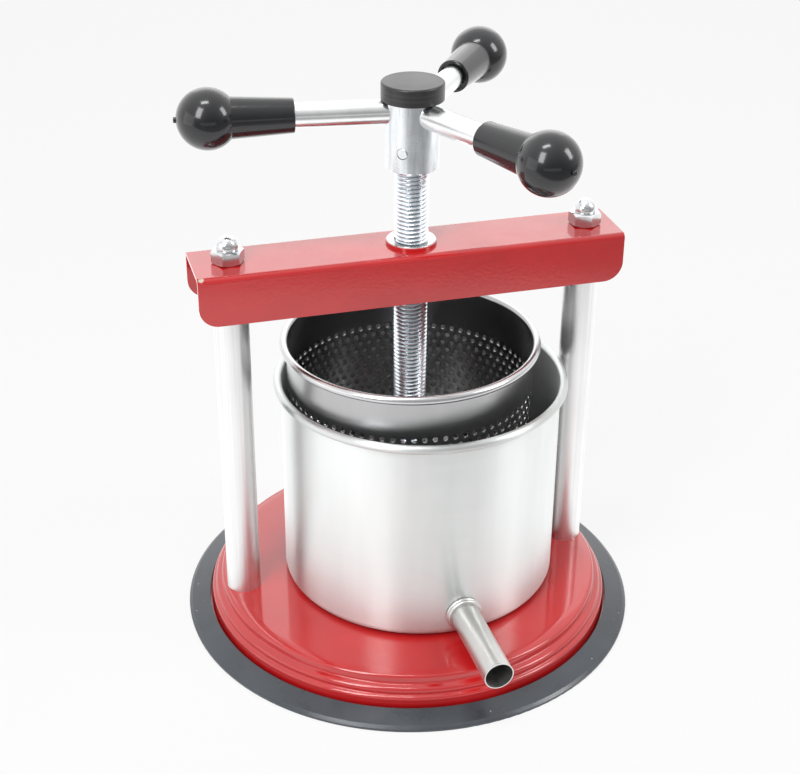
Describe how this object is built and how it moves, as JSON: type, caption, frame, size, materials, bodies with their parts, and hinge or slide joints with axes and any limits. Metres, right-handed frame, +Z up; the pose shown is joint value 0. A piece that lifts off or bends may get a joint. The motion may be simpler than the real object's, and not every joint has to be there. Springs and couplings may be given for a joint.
{
  "type": "fruit press",
  "caption": "Table-top screw press: turning the armed handle drives a plate down into a perforated basket standing in a pot, and the juice leaves by the pot's spout.",
  "frame": {"origin": "on the screw's axis, on the surface that the rubber ring stands on", "axes": "+Z up along the screw, +X along the crossbeam towards the right pillar, -Y the front with the spout"},
  "size_m": [0.286, 0.291, 0.3455],
  "materials": {
    "red_enamel": "gloss enamel",
    "polished_steel": "polished",
    "satin_steel": "satin",
    "zinc_steel": "zinc plated",
    "black_plastic": "gloss",
    "cap_plastic": "satin",
    "foot_rubber": "matt",
    "bronze": "turned"
  },
  "bodies": {
    "frame": {"rubber_ring": "foot_rubber", "base_plate": "red_enamel", "left_pillar": "polished_steel", "right_pillar": "polished_steel", "left_tie_rod": "zinc_steel", "right_tie_rod": "zinc_steel", "base_washers": "zinc_steel", "base_nuts": "zinc_steel", "cap_nuts": "polished_steel", "crossbeam": "red_enamel", "screw_bush": "red_enamel"},
    "plate": {"press_plate": "satin_steel", "plate_boss": "zinc_steel", "boss_grub_screws": "zinc_steel", "thrust_washer": "bronze"},
    "screw": {"spindle": "zinc_steel", "hub": "zinc_steel", "hub_pin": "zinc_steel", "hub_cap": "cap_plastic", "left_arm": "polished_steel", "front_arm": "polished_steel", "back_arm": "polished_steel", "left_knob": "black_plastic", "front_knob": "black_plastic", "back_knob": "black_plastic"},
    "pot": {"pot": "satin_steel", "spout": "satin_steel"},
    "basket": {"basket": "satin_steel"}
  },
  "joints": [
    {"name": "plate_lift", "type": "slide", "parent": "frame", "child": "plate", "axis": [0, 0, 1], "range_m": [-0.04375, 0.1225]},
    {"name": "spindle_turn", "type": "hinge", "parent": "plate", "child": "screw", "pos_m": [0, 0, 0], "axis": [0, 0, 1], "range_deg": [-6300, 17640]},
    {"name": "pot_turn", "type": "hinge", "parent": "frame", "child": "pot", "pos_m": [0, 0, 0], "axis": [0, 0, 1], "range_deg": [-82, 72]},
    {"name": "basket_turn", "type": "hinge", "parent": "pot", "child": "basket", "pos_m": [0, 0, 0], "axis": [0, 0, 1], "continuous": true}
  ],
  "couplings": [
    {"joint": "plate_lift", "follows": "spindle_turn", "m_per_rad": 0.00039789}
  ]
}
